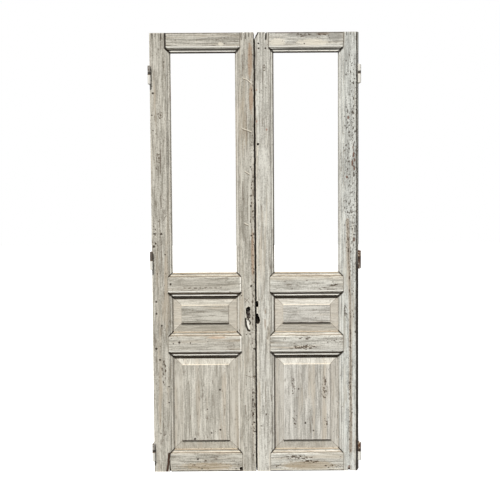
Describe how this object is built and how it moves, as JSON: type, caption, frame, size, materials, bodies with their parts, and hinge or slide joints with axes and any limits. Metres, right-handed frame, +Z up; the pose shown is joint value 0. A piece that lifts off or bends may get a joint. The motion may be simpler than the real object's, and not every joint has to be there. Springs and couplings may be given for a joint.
{
  "type": "french doors",
  "caption": "Weathered limewashed french door leaves with empty glazing openings over raised panels, on lift-off hinges, with a mortise lock.",
  "frame": {"origin": "on the floor, in the middle of the shut pair, hinge knuckles included", "axes": "+X to the right across the pair, +Y from the front face to the back, +Z up"},
  "size_m": [1.103, 0.0582, 2.3],
  "materials": {
    "left_limewash": "worn matt limewash over old paint, warm grey",
    "right_limewash": "worn matt limewash over old paint, paler",
    "hinge_iron": "old iron with paint left on it",
    "pin_steel": "dull, greased",
    "brass": "tarnished",
    "lock_steel": "dull grey",
    "rusty_iron": "rusted"
  },
  "bodies": {
    "jambs": {"left_top_jamb_hinge": "hinge_iron", "left_top_hinge_pin": "pin_steel", "left_top_hinge_washer": "brass", "left_middle_jamb_hinge": "hinge_iron", "left_middle_hinge_pin": "pin_steel", "left_middle_hinge_washer": "brass", "left_bottom_jamb_hinge": "hinge_iron", "left_bottom_hinge_pin": "pin_steel", "left_bottom_hinge_washer": "brass", "right_top_jamb_hinge": "hinge_iron", "right_top_hinge_pin": "pin_steel", "right_top_hinge_washer": "brass", "right_middle_jamb_hinge": "hinge_iron", "right_middle_hinge_pin": "pin_steel", "right_middle_hinge_washer": "brass", "right_bottom_jamb_hinge": "hinge_iron", "right_bottom_hinge_pin": "pin_steel", "right_bottom_hinge_washer": "brass"},
    "left_leaf": {"left_hinge_stile": "left_limewash", "left_meeting_stile": "left_limewash", "left_top_rail": "left_limewash", "left_upper_lock_rail": "left_limewash", "left_lower_lock_rail": "left_limewash", "left_bottom_rail": "left_limewash", "left_small_panel": "left_limewash", "left_large_panel": "left_limewash", "left_top_leaf_hinge": "hinge_iron", "left_middle_leaf_hinge": "hinge_iron", "left_bottom_leaf_hinge": "hinge_iron", "left_hinge_screws": "rusty_iron", "lock_case": "lock_steel", "lock_cover": "lock_steel", "lock_forend": "lock_steel", "lock_tumbler": "brass", "forend_screws": "rusty_iron"},
    "right_leaf": {"right_hinge_stile": "right_limewash", "right_meeting_stile": "right_limewash", "right_top_rail": "right_limewash", "right_upper_lock_rail": "right_limewash", "right_lower_lock_rail": "right_limewash", "right_bottom_rail": "right_limewash", "right_small_panel": "right_limewash", "right_large_panel": "right_limewash", "right_top_leaf_hinge": "hinge_iron", "right_middle_leaf_hinge": "hinge_iron", "right_bottom_leaf_hinge": "hinge_iron", "right_hinge_screws": "rusty_iron", "right_nails": "rusty_iron"},
    "dead_bolt": {"dead_bolt": "lock_steel"}
  },
  "joints": [
    {"name": "left_swing", "type": "hinge", "parent": "jambs", "child": "left_leaf", "pos_m": [-0.5435, -0.02115, 1.122], "axis": [0, 0, -1], "range_deg": [0, 180]},
    {"name": "right_swing", "type": "hinge", "parent": "jambs", "child": "right_leaf", "pos_m": [0.5435, -0.02115, 1.122], "axis": [0, 0, 1], "range_deg": [0, 180]},
    {"name": "bolt_slide", "type": "slide", "parent": "left_leaf", "child": "dead_bolt", "axis": [1, 0, 0], "range_m": [0, 0.013]}
  ]
}
